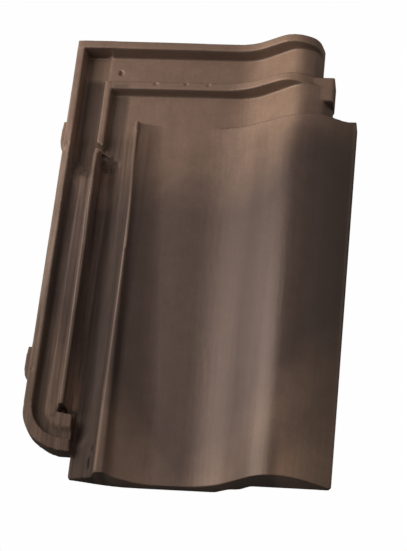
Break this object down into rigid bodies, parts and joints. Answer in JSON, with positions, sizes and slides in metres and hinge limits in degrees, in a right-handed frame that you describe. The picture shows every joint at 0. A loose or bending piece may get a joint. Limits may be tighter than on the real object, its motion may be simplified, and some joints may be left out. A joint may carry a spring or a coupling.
{
  "type": "clay roof tile",
  "caption": "Interlocking clay pantile with a shallow trough, a cover roll along one side, a channelled underlap along the other and ribs across its head.",
  "frame": {"origin": "middle of the tile's box, on the floor plane under its foot lip and batten nibs", "axes": "+Y up the roof from the foot to the head, +X from the underlap to the cover roll, +Z out of the roof"},
  "size_m": [0.2726, 0.433, 0.0491],
  "materials": {
    "fired_clay": "matt to satin brown engobe on pressed and fired clay"
  },
  "bodies": {
    "root": {"roof_tile": "fired_clay"}
  },
  "joints": []
}
